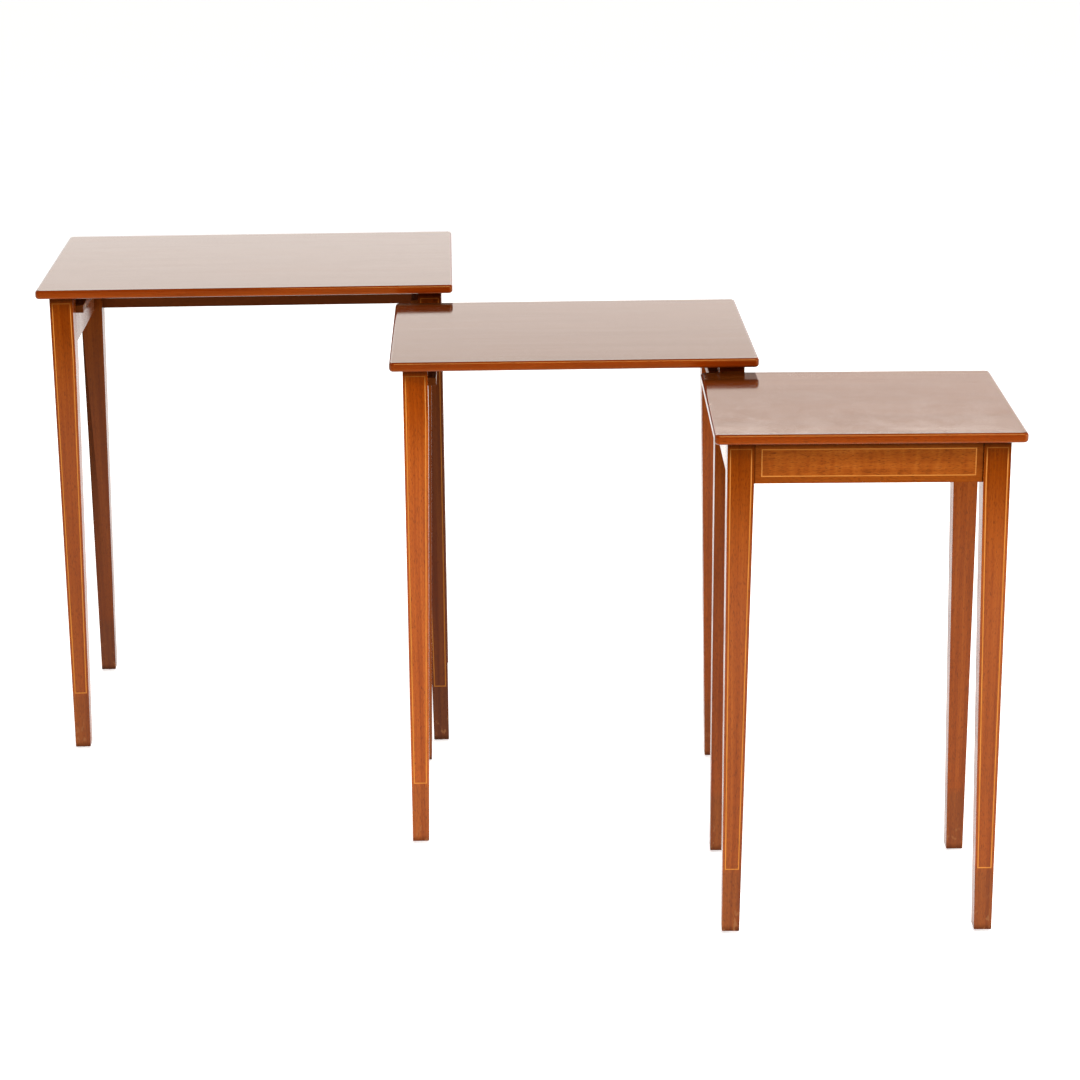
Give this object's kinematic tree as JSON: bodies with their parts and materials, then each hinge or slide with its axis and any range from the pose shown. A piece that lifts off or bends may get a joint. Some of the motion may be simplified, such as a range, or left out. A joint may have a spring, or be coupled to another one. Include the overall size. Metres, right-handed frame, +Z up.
{
  "type": "nesting tables",
  "caption": "Nest of slender side tables with square tapered legs, thin round-edged tops, boxwood stringing and open fronts with runners, drawn out from one another to the right.",
  "frame": {"origin": "bottom centre of the bounding box of the three tables in the arrangement shown, on the floor", "axes": "+X to the viewer's right along the large table's front edge, +Y from the tables' fronts towards their backs, +Z up; the fronts face -Y"},
  "size_m": [1.219, 1.0534, 0.666],
  "materials": {
    "mahogany": "french polish, warm red-brown with a fine straight grain",
    "figured_mahogany": "french polished flame-figured veneer",
    "boxwood": "polished boxwood line, mellowed to a warm straw colour",
    "glide_steel": "nickel-plated domed steel, dulled by wear",
    "screw_steel": "plain steel wood screw",
    "screw_brass": "aged brass wood screw"
  },
  "bodies": {
    "large_table": {"large_top": "mahogany", "large_front_left_leg": "mahogany", "large_front_right_leg": "mahogany", "large_back_left_leg": "mahogany", "large_back_right_leg": "mahogany", "large_left_rail": "mahogany", "large_right_rail": "mahogany", "large_back_rail": "mahogany", "large_left_runner": "mahogany", "large_right_runner": "mahogany", "large_left_stringing": "boxwood", "large_right_stringing": "boxwood", "large_glides": "glide_steel", "large_top_screws": "screw_steel", "large_runner_screws": "screw_brass"},
    "middle_table": {"middle_top": "mahogany", "middle_front_left_leg": "mahogany", "middle_front_right_leg": "mahogany", "middle_back_left_leg": "mahogany", "middle_back_right_leg": "mahogany", "middle_left_rail": "mahogany", "middle_right_rail": "mahogany", "middle_back_rail": "mahogany", "middle_left_runner": "mahogany", "middle_right_runner": "mahogany", "middle_left_stringing": "boxwood", "middle_right_stringing": "boxwood", "middle_glides": "glide_steel", "middle_top_screws": "screw_steel", "middle_runner_screws": "screw_brass"},
    "small_table": {"small_top": "mahogany", "small_front_left_leg": "mahogany", "small_front_right_leg": "mahogany", "small_back_left_leg": "mahogany", "small_back_right_leg": "mahogany", "small_left_rail": "mahogany", "small_right_rail": "mahogany", "small_back_rail": "mahogany", "small_apron": "mahogany", "small_apron_panel": "figured_mahogany", "small_apron_stringing": "boxwood", "small_left_stringing": "boxwood", "small_right_stringing": "boxwood", "small_glides": "glide_steel", "small_top_screws": "screw_steel"}
  },
  "joints": [
    {"name": "middle_table_slide", "type": "slide", "parent": "large_table", "child": "middle_table", "axis": [1, 0, 0], "range_m": [-0.429, 0]},
    {"name": "small_table_slide", "type": "slide", "parent": "middle_table", "child": "small_table", "axis": [1, 0, 0], "range_m": [-0.327, 0]}
  ]
}
